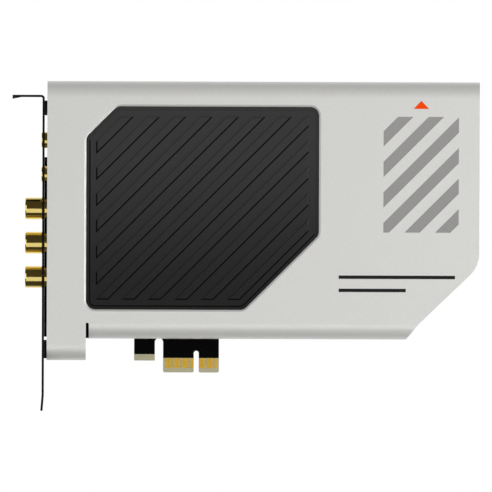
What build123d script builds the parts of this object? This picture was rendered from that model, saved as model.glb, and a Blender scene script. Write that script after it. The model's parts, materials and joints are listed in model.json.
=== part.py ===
from build123d import *
import math
import os

# PCI Express x1 sound card: a circuit board on a slot bracket, under a folded metal shroud whose window
# holds a ribbed black panel. Two 3.5 mm jacks and three coaxial sockets stand in the bracket.
# Millimetres. The origin is the middle of the edge connector's key notch, on the board's middle plane,
# level with the connector's bottom edge. +X runs from the bracket to the card's free end, -Y is the
# component side that the shroud covers, and +Z points up, out of the slot.

# Clearances
NEST_GAP = 0.02            # radial, between turned pieces that nest in each other
THREAD_GAP = 0.05          # radial, between a plain shank and the hole that stands for its thread
SCREW_HOLE_GAP = 0.2       # radial, between a screw and its hole in the board
SOCKET_HOLE_GAP = 0.2      # radial, between a barrel and its hole in the bracket
PANEL_GAP = 0.1            # between the panel and the edge of its window
RIM_GAP = 0.3              # between the shroud's rims and the bracket's tabs on the board

# Slot bracket
KEY_FROM_BRACKET = 58.7    # key notch's middle from the bracket's outer face
BRACKET_HEIGHT = 120.02    # from the tip to the top of the flange
BRACKET_DROP = 14.77       # tip below the edge connector's bottom edge
BRACKET_WIDTH = 18.42
BRACKET_BEHIND = 2.5       # back edge behind the board's back face
BRACKET_SHEET = 0.86
BRACKET_BEND = 0.5         # inner radius of its folds
FLANGE_REACH = 11.4
FLANGE_CORNER = 1.5
EAR_LENGTH = 3.4           # front corner of the flange, bent down a little
EAR_WIDTH = 8.0
EAR_DROP = 0.66
NOTCH_WIDTH = 4.42         # U notch for the case screw
NOTCH_FROM_FACE = 6.35
NOTCH_DEPTH = 5.2
TIP_WIDTH = 10.19
TIP_LENGTH = 7.2           # narrow part below the shoulders
TIP_SHOULDER = 2.0         # height of the sloped shoulders
TIP_BEND_LENGTH = 6.0
TIP_BEND_ANGLE = 4.5       # degrees, outwards
TIP_CORNER = 1.2
TAB_REACH = 10.0           # lanced tabs, from the bracket's outer face
UPPER_TAB_DROP = 4.95      # upper tab's middle below the top of the flange
UPPER_TAB_HEIGHT = 5.6
LOWER_TAB_RISE = 23.47     # lower tab's middle above the tip
LOWER_TAB_HEIGHT = 7.0
TAB_SCREW_REACH = 6.6      # screw's axis from the bracket's outer face

# Circuit board
BOARD_THICKNESS = 1.57
BOARD_INSET = 0.15         # board's edges inside the shroud's outline
BOARD_SETBACK = 2.4        # left edge from the bracket's outer face, beside the tabs
NOSE_GAP = 0.02            # left edge from the bracket's inner face, along the sockets
NOSE_RISE = 1.2            # its lower end above the lower tab

# Edge connector, of the x1 size
KEY_WIDTH = 1.9
KEY_DEPTH = 8.25
KEY_MARGIN = 0.55          # side of the key notch to the axis of the next contact
BLADE_MARGIN = 1.1         # last contact's axis to the blade's outer side
BLADE_CORNER = 0.6
BEVEL_HEIGHT = 1.7
BEVEL_DEPTH = 0.45
CONTACT_SPACING = 1.0
CONTACT_WIDTH = 0.7
CONTACT_TOP = 5.42
CONTACT_THICKNESS = 0.05
LONG_CONTACTS = 11
SHORT_CONTACTS = 7
HOOK_WIDTH = 7.87          # guide hook beside the connector
HOOK_GAP = 3.13
HOOK_BOTTOM = 4.48
HOOK_BEVEL = 2.42
HOOK_GAP_TOP = 13.0

# Shroud, one folded sheet
SHROUD_SHEET = 1.0
SHROUD_GAP = 1.0           # left end from the bracket's inner face
SHROUD_LENGTH = 164.24
SHROUD_OVER = 5.25         # top above the bracket's flange
SHROUD_BOTTOM = 12.78
SHROUD_HEADROOM = 1.6      # inside surface above the tallest part on the board
SHROUD_BEND = 6.0          # outer radius of its folds
FOOT_LENGTH = 14.86
FOOT_MARGIN = 0.65         # foot's lower edge below the bracket's lower tab
SLIT_WIDTH = 1.12
CORNER_CUT_RISE = 27.88    # where the sloped edge would meet the right end, above the bottom
CORNER_CUT_ANGLE = 46.2    # degrees from vertical
CORNER_RADIUS = 12.0
FOLD_END_RUN = 5.0         # run of the sloped edge across the bottom fold

# Window and inset panel
WINDOW_START = 14.86       # from the shroud's left end
WINDOW_WIDTH = 88.4
WINDOW_BELOW = 11.03       # from the shroud's bottom
WINDOW_ABOVE = 9.48        # from the shroud's top
UPPER_CUT = 11.64          # legs of the two 45 degree corners
LOWER_CUT = 28.47
WINDOW_CORNER = 3.5
WINDOW_EDGE = 0.7          # small chamfer round the window
PANEL_RECESS = 0.95        # border below the shroud's outer surface
BORDER_WIDTH = 1.05
FIELD_RISE = 0.45
BAR_RISE = 0.5
BAR_COUNT = 12
BAR_MARGIN = 3.75          # bars' ends from the panel's edge
EDGE_SLOPE = 45.0          # degrees, sides of the raised field and of the bars
LIP_WIDTH = 2.5
LIP_THICKNESS = 1.2
TAPE_THICKNESS = 0.15
TAPE_MARGIN = 0.4

# Sockets in the bracket, on one line
SOCKET_PITCH = 13.0
SOCKET_RISE = 7.6          # middle of the line above the middle between the bracket's tabs
SOCKET_HEIGHT = 6.6        # axis above the board
COAX_NAMES = ("lower", "middle", "upper")
COAX_RADIUS = 4.15
COAX_WALL = 0.85
COAX_REACH = 6.45          # past the bracket's outer face
COAX_GROOVE = 0.4          # depth of the barrel's groove where it passes the bracket
COAX_SEAT = 3.0            # front of the moulded body, from the bracket's outer face
COAX_INSULATOR_STEP = 0.5
COAX_CONTACT_STEP = 0.9
COAX_CONTACT_RADIUS = 2.2
COAX_BORE_RADIUS = 1.65
COAX_RIM = 0.3
COAX_BODY_LENGTH = 10.2
COAX_BODY_SPACE = 1.8      # between two bodies
COAX_BODY_COVER = 0.65     # over the barrel
JACK_NAMES = ("line", "headphone")
JACK_RADIUS = 3.0
JACK_REACH = 0.3
JACK_RIM = 0.25
JACK_SEAT = 2.6
JACK_BORE_RADIUS = 1.8
JACK_BORE_LENGTH = 14.0
JACK_BODY_WALL = 0.8       # behind the bore's end, which stays inside the body
JACK_BODY_SPACE = 3.4
JACK_BODY_COVER = 0.8      # over the bushing
JACK_SPRING_COUNT = 3
JACK_SPRING_PITCH = 3.4
JACK_SPRING_WIDTH = 1.2
JACK_SPRING_HEIGHT = 1.6
JACK_SLOT_GAP = 0.1

# Standoffs and screws
STANDOFF_RADIUS = 2.8
STANDOFF_BORE_DEPTH = 9.0
STANDOFF_CLEAR = 0.6       # from the panel's lip
STANDOFF_EDGE = 9.0        # from the shroud's outer edges
STANDOFF_FOOT_RISE = 6.5   # above the shroud's bottom, over its foot
SCREW_RADIUS = 1.5
SCREW_HEAD_RADIUS = 2.8
SCREW_HEAD_HEIGHT = 1.9
SCREW_HEAD_CROWN = 0.8
SCREW_GRIP = 5.0           # shank beyond the board's front face
SCREW_CROSS_LENGTH = 2.9
SCREW_CROSS_WIDTH = 0.7
SCREW_CROSS_DEPTH = 1.1

# Circuit parts: width along X, height along Z, thickness off the board
PROCESSOR = (14.0, 14.0, 1.2)
CONVERTER = (9.0, 9.0, 1.0)
RECORDER = (7.0, 7.0, 1.0)
AMPLIFIER = (6.0, 6.0, 1.0)
MEMORY = (5.2, 6.0, 1.2)
OSCILLATOR = (5.0, 3.2, 1.3)
OP_AMP = (3.9, 4.9, 1.5)
RELAY = (6.5, 10.0, 5.2)
FILM_CAP = (7.2, 4.6, 6.5)
REGULATOR = (6.6, 6.1, 2.3)
REGULATOR_TAB = (5.2, 2.6, 0.6)
INDUCTOR = (7.0, 7.0, 4.2)
CHIP_CAP = (2.0, 1.25, 0.9)
CHIP_RESISTOR = (1.6, 0.8, 0.5)
CAN_RADIUS = 4.0
CAN_HEIGHT = 9.6
CAN_CREASE = 0.35
CAN_CREASE_Z = 1.6
LEAD_PITCH = 1.27
LEAD_COUNT = 4             # on each side of an operational amplifier
LEAD_WIDTH = 0.42
LEAD_REACH = 1.05
LEAD_THICKNESS = 0.2
PACKAGE_EDGE = 0.2
HEADER_PINS = 5            # in each of two rows
HEADER_KEY_PIN = 3         # place that stays empty
HEADER_PITCH = 2.54
HEADER_PIN = 0.64
HEADER_PIN_REACH = 8.5
HEADER_BODY_LENGTH = 9.0
HEADER_WALL = 1.0
HEADER_MARGIN = 2.0
HEADER_FROM_TOP = 32.0
HEADER_FROM_END = 3.0

# Places of the circuit parts: X from the bracket's outer face, or from the window's right side where the
# name says beside, and Z from the middle of the shroud's height
PROCESSOR_X = 72.0
PROCESSOR_Z = 0.4
CONVERTER_X = 50.0
RECORDER_Z = -17.6
AMPLIFIER_X = 42.0
AMPLIFIER_Z = 26.4
MEMORY_X = 86.0
MEMORY_Z = -13.6
OSCILLATOR_X = 62.0
OSCILLATOR_PITCH = 8.0
OSCILLATOR_COUNT = 2
RELAY_CLEAR = 0.83         # from the standoff above them
OP_AMP_CLEAR = 1.5         # from the relays to the leads
OP_AMP_COUNT = 4
FILM_CAP_X = 22.0
FILM_CAP_Z = -28.6
FILM_CAP_PITCH = 6.5
FILM_CAP_COUNT = 5
CAN_X = 54.0
CAN_Z = 19.4
CAN_PITCH = 10.0
CAN_COLUMNS = 4
CAN_ROWS = 2
RESISTOR_CLEAR = 2.7       # from the amplifiers' leads
RESISTOR_Z = -28.6
RESISTOR_PITCH = 3.0
RESISTOR_COLUMNS = 2
RESISTOR_ROWS = 8
CHIP_CAP_CLEAR = 3.0       # from the processor's sides
CHIP_CAP_PITCH = 3.2
CHIP_CAP_ROWS = 5
REGULATOR_BESIDE = 9.0
REGULATOR_Z = -25.6
INDUCTOR_BESIDE = 8.0
INDUCTOR_Z = 14.4
POWER_PITCH = 12.0         # between regulators and between inductors
REGULATOR_COUNT = 3
INDUCTOR_COUNT = 2
BUFFER_CAP_BESIDE = 4.0
BUFFER_CAP_PITCH = 4.0
BUFFER_CAP_COUNT = 8

# Planes and lines that the pieces share
FRONT = -BOARD_THICKNESS / 2
BACK = BOARD_THICKNESS / 2
BRACKET_X = -KEY_FROM_BRACKET
BRACKET_INNER = BRACKET_X + BRACKET_SHEET
BRACKET_BACK = BACK + BRACKET_BEHIND
BRACKET_FRONT = BRACKET_BACK - BRACKET_WIDTH
BRACKET_TIP = -BRACKET_DROP
BRACKET_TOP = BRACKET_TIP + BRACKET_HEIGHT
UPPER_TAB_Z = BRACKET_TOP - UPPER_TAB_DROP
LOWER_TAB_Z = BRACKET_TIP + LOWER_TAB_RISE
COAX_COUNT = len(COAX_NAMES)
SOCKET_COUNT = COAX_COUNT + len(JACK_NAMES)
SOCKET_Y = FRONT - SOCKET_HEIGHT
SOCKET_MIDDLE_Z = (UPPER_TAB_Z + LOWER_TAB_Z) / 2 + SOCKET_RISE
COAX_BODY_WIDTH = SOCKET_PITCH - COAX_BODY_SPACE
COAX_BODY_HEIGHT = SOCKET_HEIGHT + COAX_RADIUS + COAX_BODY_COVER
JACK_BODY_WIDTH = SOCKET_PITCH - JACK_BODY_SPACE
JACK_BODY_HEIGHT = SOCKET_HEIGHT + JACK_RADIUS + JACK_BODY_COVER
PANEL_STACK = TAPE_THICKNESS + LIP_THICKNESS
TALLEST = max(COAX_BODY_HEIGHT, JACK_BODY_HEIGHT, CAN_HEIGHT + PANEL_STACK)
SHROUD_LEFT = BRACKET_INNER + SHROUD_GAP
SHROUD_RIGHT = SHROUD_LEFT + SHROUD_LENGTH
SHROUD_TOP = BRACKET_TOP + SHROUD_OVER
SHROUD_MIDDLE = (SHROUD_TOP + SHROUD_BOTTOM) / 2
SHROUD_INSIDE = FRONT - TALLEST - SHROUD_HEADROOM
SHROUD_FACE = SHROUD_INSIDE - SHROUD_SHEET
SHROUD_RIM = FRONT - BRACKET_SHEET - RIM_GAP
FOOT_BOTTOM = LOWER_TAB_Z - LOWER_TAB_HEIGHT / 2 - FOOT_MARGIN
CORNER_CUT_TOP = SHROUD_BOTTOM + CORNER_CUT_RISE
SLIT_X = SHROUD_LEFT + FOOT_LENGTH + SLIT_WIDTH / 2
FOLD_LINE = SHROUD_BOTTOM + SHROUD_BEND
CUT_SLOPE = math.tan(math.radians(CORNER_CUT_ANGLE))
FOLD_CORNER_X = SHROUD_RIGHT - (CORNER_CUT_TOP - FOLD_LINE) * CUT_SLOPE
WINDOW_LEFT = SHROUD_LEFT + WINDOW_START
WINDOW_RIGHT = WINDOW_LEFT + WINDOW_WIDTH
WINDOW_BOTTOM = SHROUD_BOTTOM + WINDOW_BELOW
WINDOW_TOP = SHROUD_TOP - WINDOW_ABOVE
LONG_BLADE = KEY_MARGIN + CONTACT_SPACING * (LONG_CONTACTS - 1) + BLADE_MARGIN
SHORT_BLADE = KEY_MARGIN + CONTACT_SPACING * (SHORT_CONTACTS - 1) + BLADE_MARGIN
HEADER_START = SHROUD_RIGHT - HEADER_FROM_END - HEADER_BODY_LENGTH
HEADER_MIDDLE = SHROUD_TOP - HEADER_FROM_TOP
HEADER_DEPTH = 2 * (HEADER_PITCH + HEADER_WALL) + HEADER_PIN
DIAGONAL = math.sqrt(2)


def block(x, y, z):
    """Box between the low and high ends given for each axis."""
    size = (x[1] - x[0], y[1] - y[0], z[1] - z[0])
    return Pos((x[0] + x[1]) / 2, (y[0] + y[1]) / 2, (z[0] + z[1]) / 2) * Box(*size)


def rod_x(start, end, y, z, radius):
    """Round bar along X."""
    return Pos((start + end) / 2, y, z) * Rot(0, 90, 0) * Cylinder(radius, end - start)


def rod_y(x, z, start, end, radius):
    """Round bar along Y."""
    return Pos(x, (start + end) / 2, z) * Rot(90, 0, 0) * Cylinder(radius, end - start)


def polygon(points):
    """Flat face inside a closed line."""
    return make_face(Polyline(*points, close=True))


def plate(outline, front, back):
    """Outline in X and Z made a plate between two planes across Y."""
    return extrude(Plane.XZ.offset(-back) * outline, amount=back - front)


def strip(outline, start, end):
    """Outline in Y and Z drawn out along X."""
    return extrude(Plane.YZ.offset(start) * outline, amount=end - start)


def front_edges(solid):
    """Edges of the face that looks furthest towards -Y."""
    return solid.faces().sort_by(Axis.Y)[0].edges()


def on_board(x, z, size):
    """Box of a circuit part that stands on the board's front face."""
    width, height, thickness = size
    return block((x - width / 2, x + width / 2), (FRONT - thickness, FRONT), (z - height / 2, z + height / 2))


def from_bracket(distance):
    """X at a distance from the bracket's outer face."""
    return BRACKET_X + distance


def socket_z(index):
    """Height of a socket's axis, counted from the lowest."""
    return SOCKET_MIDDLE_Z + SOCKET_PITCH * (index - (SOCKET_COUNT - 1) / 2)


def window_outline(grow):
    """Outline of the panel's window, moved outwards by a distance."""
    left, right = WINDOW_LEFT - grow, WINDOW_RIGHT + grow
    low, high = WINDOW_BOTTOM - grow, WINDOW_TOP + grow
    upper = UPPER_CUT + grow * (2 - DIAGONAL)
    lower = LOWER_CUT + grow * (2 - DIAGONAL)
    outline = polygon([(left, low), (right - lower, low), (right, low + lower), (right, high),
                       (left + upper, high), (left, high - upper)])
    return fillet(outline.vertices(), WINDOW_CORNER + grow)


def card_outline(inset):
    """Outline of the shroud seen from the front, without its foot, moved inwards by a distance."""
    left, right = SHROUD_LEFT, SHROUD_RIGHT - inset
    low, high = SHROUD_BOTTOM + inset, SHROUD_TOP - inset
    across = inset / math.cos(math.radians(CORNER_CUT_ANGLE))
    cut_top = CORNER_CUT_TOP - inset * (1 / CUT_SLOPE) + across / CUT_SLOPE
    fold_x = FOLD_CORNER_X - across
    outline = polygon([(left, low), (fold_x - FOLD_END_RUN, low), (fold_x, FOLD_LINE),
                       (right, cut_top), (right, high), (left, high)])
    corner = outline.vertices().group_by(Axis.X)[-1].sort_by(Axis.Y)[0]
    return fillet(corner, CORNER_RADIUS - inset)


def standoff_places():
    """Centres of the shroud's standoffs, in X and Z."""
    reach = (LIP_WIDTH + STANDOFF_CLEAR + STANDOFF_RADIUS) / DIAGONAL
    upper = (WINDOW_LEFT + UPPER_CUT / 2 - reach, WINDOW_TOP - UPPER_CUT / 2 + reach)
    lower = (WINDOW_RIGHT - LOWER_CUT / 2 + reach, WINDOW_BOTTOM + LOWER_CUT / 2 - reach)
    foot = (SHROUD_LEFT + FOOT_LENGTH / 2, SHROUD_BOTTOM + STANDOFF_FOOT_RISE)
    far_x = SHROUD_RIGHT - STANDOFF_EDGE
    return [upper, lower, foot, (far_x, SHROUD_TOP - STANDOFF_EDGE), (far_x, CORNER_CUT_TOP + STANDOFF_EDGE)]


def tab_places():
    """Centres of the bracket's tab screws, in X and Z."""
    return [(from_bracket(TAB_SCREW_REACH), z) for z in (UPPER_TAB_Z, LOWER_TAB_Z)]


def bracket_section(drop):
    """Bracket seen from the front: bent tip, plate and flange, whose end is bent down by a distance."""
    kink = BRACKET_TIP + TIP_BEND_LENGTH * math.cos(math.radians(TIP_BEND_ANGLE))
    kick = TIP_BEND_LENGTH * math.sin(math.radians(TIP_BEND_ANGLE))
    under = BRACKET_TOP - BRACKET_SHEET
    outer, inner = BRACKET_X, BRACKET_INNER
    far = outer - FLANGE_REACH
    near = far + EAR_LENGTH
    section = polygon([(outer, kink), (outer - kick, BRACKET_TIP), (inner - kick, BRACKET_TIP), (inner, kink),
                       (inner, BRACKET_TOP), (near, BRACKET_TOP), (far, BRACKET_TOP - drop),
                       (far, under - drop), (near, under), (outer, under)])
    corner = section.vertices().sort_by_distance((inner, BRACKET_TOP))[0]
    section = fillet(corner, BRACKET_BEND + BRACKET_SHEET)
    return fillet(section.vertices().sort_by_distance((outer, under))[0], BRACKET_BEND)


def bracket_plan():
    """Bracket seen from above: rounded flange with its screw notch, and the plate's edge."""
    far = BRACKET_X - FLANGE_REACH
    plan = rectangle(far, BRACKET_INNER, BRACKET_FRONT, BRACKET_BACK)
    plan = fillet(plan.vertices().group_by(Axis.X)[0], FLANGE_CORNER)
    notch_x = BRACKET_X - NOTCH_FROM_FACE
    notch_y = BRACKET_BACK - NOTCH_DEPTH + NOTCH_WIDTH / 2
    plan -= rectangle(notch_x - NOTCH_WIDTH / 2, notch_x + NOTCH_WIDTH / 2, notch_y, BRACKET_BACK)
    return plan - Pos(notch_x, notch_y) * Circle(NOTCH_WIDTH / 2)


def bracket():
    """Slot bracket: plate, case flange with its screw notch, bent tip and two lanced tabs."""
    ear_end = BRACKET_FRONT + EAR_WIDTH
    body = plate(bracket_section(0), ear_end, BRACKET_BACK)
    body += plate(bracket_section(EAR_DROP), BRACKET_FRONT, ear_end)

    middle = (BRACKET_FRONT + BRACKET_BACK) / 2
    shoulder = BRACKET_TIP + TIP_LENGTH
    half, narrow = BRACKET_WIDTH / 2, TIP_WIDTH / 2
    side = [(narrow, BRACKET_TIP), (narrow, shoulder), (half, shoulder + TIP_SHOULDER), (half, BRACKET_TOP)]
    outline = polygon([(middle + y, z) for y, z in side] + [(middle - y, z) for y, z in reversed(side)])
    outline = fillet(outline.vertices().group_by(Axis.Y)[0], TIP_CORNER)
    body &= strip(outline, BRACKET_X - FLANGE_REACH, BRACKET_INNER)
    body &= extrude(Plane.XY.offset(BRACKET_TIP) * bracket_plan(), amount=BRACKET_HEIGHT)

    for z, height in ((UPPER_TAB_Z, UPPER_TAB_HEIGHT), (LOWER_TAB_Z, LOWER_TAB_HEIGHT)):
        body = lanced_tab(body, z, height)
    hole_span = (BRACKET_X - BRACKET_SHEET, BRACKET_INNER + BRACKET_SHEET)
    for index in range(SOCKET_COUNT):
        radius = (COAX_RADIUS if index < COAX_COUNT else JACK_RADIUS) + SOCKET_HOLE_GAP
        body -= rod_x(*hole_span, SOCKET_Y, socket_z(index), radius)
    return body


def lanced_tab(body, z, height):
    """Tab cut out of the bracket's plate and folded along the board, with its screw hole."""
    root = FRONT - BRACKET_SHEET
    tab_end = from_bracket(TAB_REACH)
    low, high = z - height / 2, z + height / 2
    fold = polygon([(BRACKET_X, BACK), (BRACKET_X, root), (tab_end, root), (tab_end, FRONT),
                    (BRACKET_INNER, FRONT), (BRACKET_INNER, BACK)])
    fold = fillet(fold.vertices().sort_by_distance((BRACKET_X, root))[0], BRACKET_BEND + BRACKET_SHEET)
    fold = fillet(fold.vertices().sort_by_distance((BRACKET_INNER, FRONT))[0], BRACKET_BEND)
    opening_end = root - (TAB_REACH - BRACKET_SHEET)
    through = (BRACKET_X - BRACKET_SHEET, BRACKET_INNER + BRACKET_SHEET)
    body -= block(through, (opening_end, BACK), (low, high))
    body += extrude(Plane.XY.offset(low) * fold, amount=height)
    hole = rod_y(from_bracket(TAB_SCREW_REACH), z, root - BRACKET_SHEET, FRONT + BRACKET_SHEET,
                 SCREW_RADIUS + THREAD_GAP)
    return body - hole


def board():
    """Circuit board with its connector blades, key notch, guide hook, foot and screw holes."""
    left = from_bracket(BOARD_SETBACK)
    nose = BRACKET_INNER + NOSE_GAP
    low, high = SHROUD_BOTTOM + BOARD_INSET, SHROUD_TOP - BOARD_INSET
    foot_right = SHROUD_LEFT + FOOT_LENGTH - BOARD_INSET
    outline = card_outline(BOARD_INSET) & polygon(
        [(left, low), (SHROUD_RIGHT, low), (SHROUD_RIGHT, high), (left, high)])
    outline += rectangle(left, foot_right, FOOT_BOTTOM + BOARD_INSET, low)
    nose_low = LOWER_TAB_Z + LOWER_TAB_HEIGHT / 2 + NOSE_RISE
    outline += rectangle(nose, left, nose_low, socket_z(COAX_COUNT) + SOCKET_PITCH / 2)
    long_left = -KEY_WIDTH / 2 - LONG_BLADE
    short_right = KEY_WIDTH / 2 + SHORT_BLADE
    outline += blade(long_left, -KEY_WIDTH / 2, low)
    outline += blade(KEY_WIDTH / 2, short_right, low)
    hook_right = long_left - HOOK_GAP
    hook_left = hook_right - HOOK_WIDTH
    outline += rectangle(hook_left, hook_right, HOOK_BOTTOM, low)
    outline += rectangle(-KEY_WIDTH, KEY_WIDTH, KEY_DEPTH - KEY_WIDTH / 2, low)
    outline -= Pos(0, KEY_DEPTH - KEY_WIDTH / 2) * Circle(KEY_WIDTH / 2)
    outline += rectangle(hook_right, long_left, HOOK_GAP_TOP - HOOK_GAP / 2, low + HOOK_GAP)
    outline -= Pos(hook_right + HOOK_GAP / 2, HOOK_GAP_TOP - HOOK_GAP / 2) * Circle(HOOK_GAP / 2)

    body = plate(outline, FRONT, BACK)
    for x_span, bottom, height in (((long_left, short_right), 0, BEVEL_HEIGHT),
                                   ((hook_left, hook_right), HOOK_BOTTOM, HOOK_BEVEL)):
        for side in (-1, 1):
            face = side * BOARD_THICKNESS / 2
            wedge = polygon([(face, bottom + height), (face - side * BEVEL_DEPTH, bottom),
                             (face + side * BEVEL_DEPTH, bottom)])
            body -= strip(wedge, *x_span)
    for x, z in standoff_places() + tab_places():
        body -= rod_y(x, z, FRONT - BOARD_THICKNESS, BACK + BOARD_THICKNESS, SCREW_RADIUS + SCREW_HOLE_GAP)
    return body


def rectangle(left, right, low, high):
    """Flat rectangle between the given sides."""
    return Pos((left + right) / 2, (low + high) / 2) * Rectangle(right - left, high - low)


def blade(left, right, top):
    """One blade of the edge connector, with rounded lower corners."""
    outline = rectangle(left, right, 0, top)
    return fillet(outline.vertices().group_by(Axis.Y)[0], BLADE_CORNER)


def edge_contacts():
    """Plated contacts on both sides of the two blades."""
    first = KEY_WIDTH / 2 + KEY_MARGIN
    places = [-first - CONTACT_SPACING * index for index in range(LONG_CONTACTS)]
    places += [first + CONTACT_SPACING * index for index in range(SHORT_CONTACTS)]
    sides = ((FRONT - CONTACT_THICKNESS, FRONT), (BACK, BACK + CONTACT_THICKNESS))
    half = CONTACT_WIDTH / 2
    return [block((x - half, x + half), side, (BEVEL_HEIGHT, CONTACT_TOP)) for side in sides for x in places]


def channel(low, start, end):
    """Face with a fold along its top and its bottom, as long as given."""
    def rounded(front, back, bottom, top, radius):
        outline = rectangle(front, back, bottom, top)
        return fillet(outline.vertices().group_by(Axis.X)[0], radius)

    sheet, bend, top = SHROUD_SHEET, SHROUD_BEND, SHROUD_TOP
    section = rounded(SHROUD_FACE, SHROUD_RIM, low, top, bend)
    section -= rounded(SHROUD_INSIDE, SHROUD_RIM + sheet, low + sheet, top - sheet, bend - sheet)
    return strip(section, start, end)


def shroud():
    """Folded cover with its foot, slit, sloped corner and chamfered window."""
    past = SHROUD_RIM + SHROUD_SHEET
    body = channel(SHROUD_BOTTOM, SLIT_X, SHROUD_RIGHT) & plate(card_outline(0), SHROUD_FACE, past)
    body += channel(FOOT_BOTTOM, SHROUD_LEFT, SLIT_X)
    slit_top = FOLD_LINE - SLIT_WIDTH / 2
    slit = rectangle(SLIT_X - SLIT_WIDTH / 2, SLIT_X + SLIT_WIDTH / 2, FOOT_BOTTOM - SHROUD_SHEET, slit_top)
    slit += Pos(SLIT_X, slit_top) * Circle(SLIT_WIDTH / 2)
    body -= plate(slit, SHROUD_FACE - SHROUD_SHEET, past)
    body -= plate(window_outline(0), SHROUD_FACE - SHROUD_SHEET, SHROUD_INSIDE + SHROUD_SHEET)
    return chamfer(window_edges(body), WINDOW_EDGE)


def window_edges(body):
    """Edges of the window on the shroud's outer surface."""
    near = NEST_GAP
    flat = body.edges().filter_by_position(Axis.Y, SHROUD_FACE - near, SHROUD_FACE + near)
    flat = flat.filter_by_position(Axis.X, WINDOW_LEFT - near, WINDOW_RIGHT + near)
    return flat.filter_by_position(Axis.Z, WINDOW_BOTTOM - near, WINDOW_TOP + near)


def inset_panel():
    """Moulded panel: back lip, border, raised field and slanting bars."""
    border = SHROUD_FACE + PANEL_RECESS
    field = border - FIELD_RISE
    lip_front = SHROUD_INSIDE + TAPE_THICKNESS
    body = plate(window_outline(-PANEL_GAP), border, lip_front)
    body += plate(window_outline(LIP_WIDTH), lip_front, lip_front + LIP_THICKNESS)
    raised = window_outline(-PANEL_GAP - BORDER_WIDTH)
    body += extrude(Plane.XZ.offset(-border) * raised, amount=FIELD_RISE, taper=EDGE_SLOPE)
    for bar in panel_bars(field):
        body += bar
    return body


def panel_bars(seat):
    """Slanting bars between the two cut corners, level with each other and evenly spaced."""
    left, right = WINDOW_LEFT + BAR_MARGIN, WINDOW_RIGHT - BAR_MARGIN
    low, high = WINDOW_BOTTOM + BAR_MARGIN, WINDOW_TOP - BAR_MARGIN
    first = WINDOW_LEFT - WINDOW_TOP + UPPER_CUT + BAR_MARGIN * DIAGONAL
    last = WINDOW_RIGHT - WINDOW_BOTTOM - LOWER_CUT - BAR_MARGIN * DIAGONAL
    width = (last - first) / (2 * BAR_COUNT - 1)
    low_end, high_end = low - width, high + width

    def raised(outline):
        return extrude(Plane.XZ.offset(-seat) * outline, amount=BAR_RISE, taper=EDGE_SLOPE)

    field = raised(rectangle(left, right, low, high))
    bars = []
    for index in range(BAR_COUNT):
        start = first + 2 * width * index
        band = polygon([(start + low_end, low_end), (start + width + low_end, low_end),
                        (start + width + high_end, high_end), (start + high_end, high_end)])
        bars.append(raised(band) & field)
    return bars


def panel_tape():
    """Ring of adhesive tape between the panel's lip and the shroud."""
    ring = window_outline(LIP_WIDTH - TAPE_MARGIN) - window_outline(TAPE_MARGIN)
    return plate(ring, SHROUD_INSIDE, SHROUD_INSIDE + TAPE_THICKNESS)


def standoffs():
    """Tapped posts on the inside of the shroud's face."""
    posts = []
    for x, z in standoff_places():
        post = rod_y(x, z, SHROUD_INSIDE, FRONT, STANDOFF_RADIUS)
        posts.append(post - rod_y(x, z, FRONT - STANDOFF_BORE_DEPTH, FRONT, SCREW_RADIUS + THREAD_GAP))
    return posts


def pan_screw(x, z):
    """Cross-head screw that stands in the board's back face and points to the front."""
    head = rod_y(x, z, BACK, BACK + SCREW_HEAD_HEIGHT, SCREW_HEAD_RADIUS)
    head = fillet(head.faces().sort_by(Axis.Y)[-1].edges(), SCREW_HEAD_CROWN)
    floor, top = BACK + SCREW_HEAD_HEIGHT - SCREW_CROSS_DEPTH, BACK + 2 * SCREW_HEAD_HEIGHT
    long, short = SCREW_CROSS_LENGTH / 2, SCREW_CROSS_WIDTH / 2
    for half_x, half_z in ((long, short), (short, long)):
        head -= block((x - half_x, x + half_x), (floor, top), (z - half_z, z + half_z))
    return head + rod_y(x, z, FRONT - SCREW_GRIP, BACK, SCREW_RADIUS)


def coax_shell(z):
    """Plated barrel of a coaxial socket, with a groove where it passes the bracket."""
    start, end = from_bracket(-COAX_REACH), from_bracket(COAX_SEAT)
    barrel = rod_x(start, BRACKET_X, SOCKET_Y, z, COAX_RADIUS)
    barrel += rod_x(BRACKET_X, BRACKET_INNER, SOCKET_Y, z, COAX_RADIUS - COAX_GROOVE)
    barrel += rod_x(BRACKET_INNER, end, SOCKET_Y, z, COAX_RADIUS)
    barrel -= rod_x(start, end, SOCKET_Y, z, COAX_RADIUS - COAX_WALL)
    return chamfer(barrel.faces().sort_by(Axis.X)[0].edges(), COAX_RIM)


def coax_insulator(z):
    """Moulded ring between the barrel and the centre contact."""
    start, end = from_bracket(COAX_INSULATOR_STEP - COAX_REACH), from_bracket(COAX_SEAT)
    ring = rod_x(start, end, SOCKET_Y, z, COAX_RADIUS - COAX_WALL - NEST_GAP)
    return ring - rod_x(start, end, SOCKET_Y, z, COAX_CONTACT_RADIUS + NEST_GAP)


def coax_contact(z):
    """Centre contact sleeve of a coaxial socket."""
    start, end = from_bracket(COAX_CONTACT_STEP - COAX_REACH), from_bracket(COAX_SEAT)
    sleeve = rod_x(start, end, SOCKET_Y, z, COAX_CONTACT_RADIUS)
    return sleeve - rod_x(start, end, SOCKET_Y, z, COAX_BORE_RADIUS)


def coax_body(z):
    """Moulded body that carries a coaxial socket on the board."""
    start = from_bracket(COAX_SEAT)
    half = COAX_BODY_WIDTH / 2
    body = block((start, start + COAX_BODY_LENGTH), (FRONT - COAX_BODY_HEIGHT, FRONT), (z - half, z + half))
    return chamfer(front_edges(body), PACKAGE_EDGE)


def jack_bushing(z):
    """Plated bushing in the mouth of a 3.5 mm jack."""
    start, end = from_bracket(-JACK_REACH), from_bracket(JACK_SEAT)
    bush = rod_x(start, end, SOCKET_Y, z, JACK_RADIUS)
    bush = fillet(bush.faces().sort_by(Axis.X)[0].edges(), JACK_RIM)
    return bush - rod_x(start, end, SOCKET_Y, z, JACK_BORE_RADIUS)


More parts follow.
